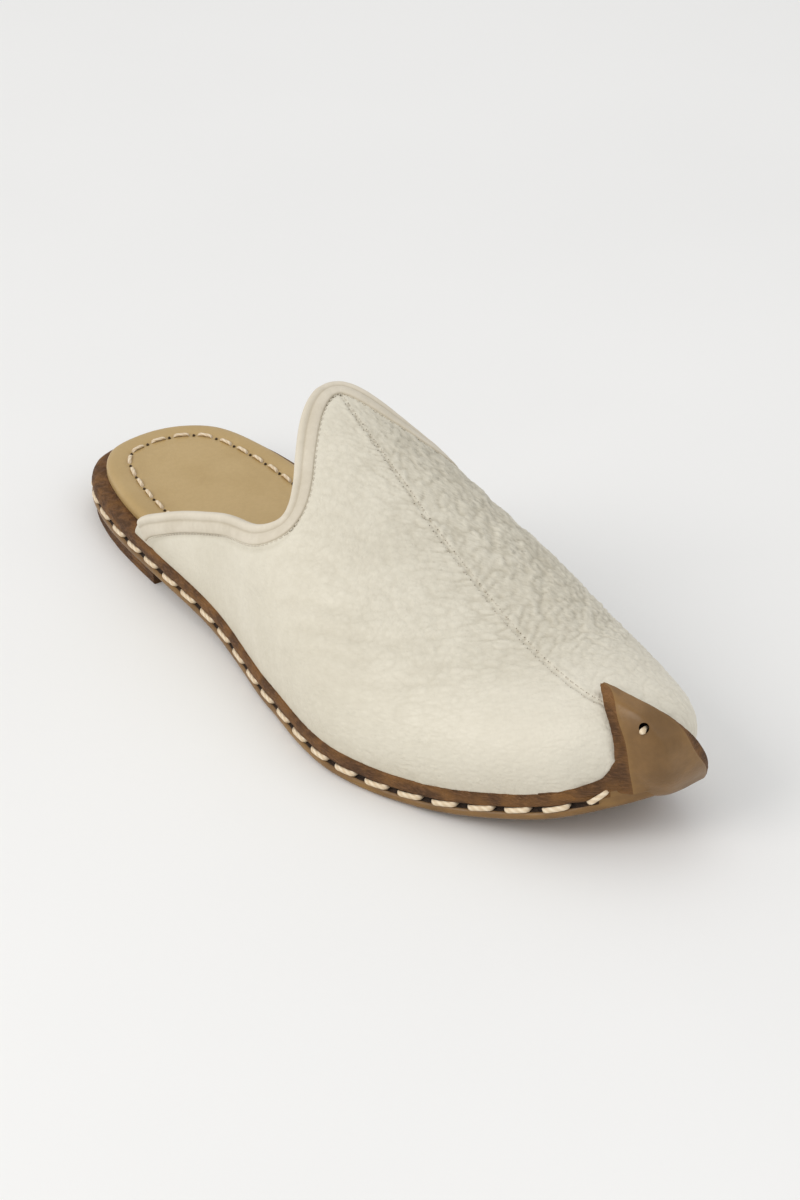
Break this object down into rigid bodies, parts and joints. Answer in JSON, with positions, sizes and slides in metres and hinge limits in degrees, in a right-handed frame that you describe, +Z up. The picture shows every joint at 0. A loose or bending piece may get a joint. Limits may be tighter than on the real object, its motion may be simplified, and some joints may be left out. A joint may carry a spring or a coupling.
{
  "type": "babouche slipper",
  "caption": "Right babouche slipper in cream leather with a peaked throat, open heel and a brown stitched sole folded back over the toe as a beak.",
  "frame": {"origin": "on the floor, under the middle of the shoe's box", "axes": "+Y towards the heel, toe towards -Y, +X towards the inner side of the foot, +Z up"},
  "size_m": [0.0892, 0.282, 0.0794],
  "materials": {
    "cream_leather": "tumbled cream cowhide with a soft pebbled grain, low sheen",
    "binding_leather": "smooth thin cream lambskin folded over the edge",
    "sole_leather": "oiled brown sole leather, burnished edge, dark cut band",
    "insole_leather": "smooth vegetable tanned tan leather",
    "lining_leather": "soft pinkish beige lining leather",
    "waxed_thread": "thick waxed cotton thread"
  },
  "bodies": {
    "root": {"outsole": "sole_leather", "insole": "insole_leather", "heel_lift": "sole_leather", "upper": "cream_leather", "collar_binding": "binding_leather"}
  },
  "joints": []
}
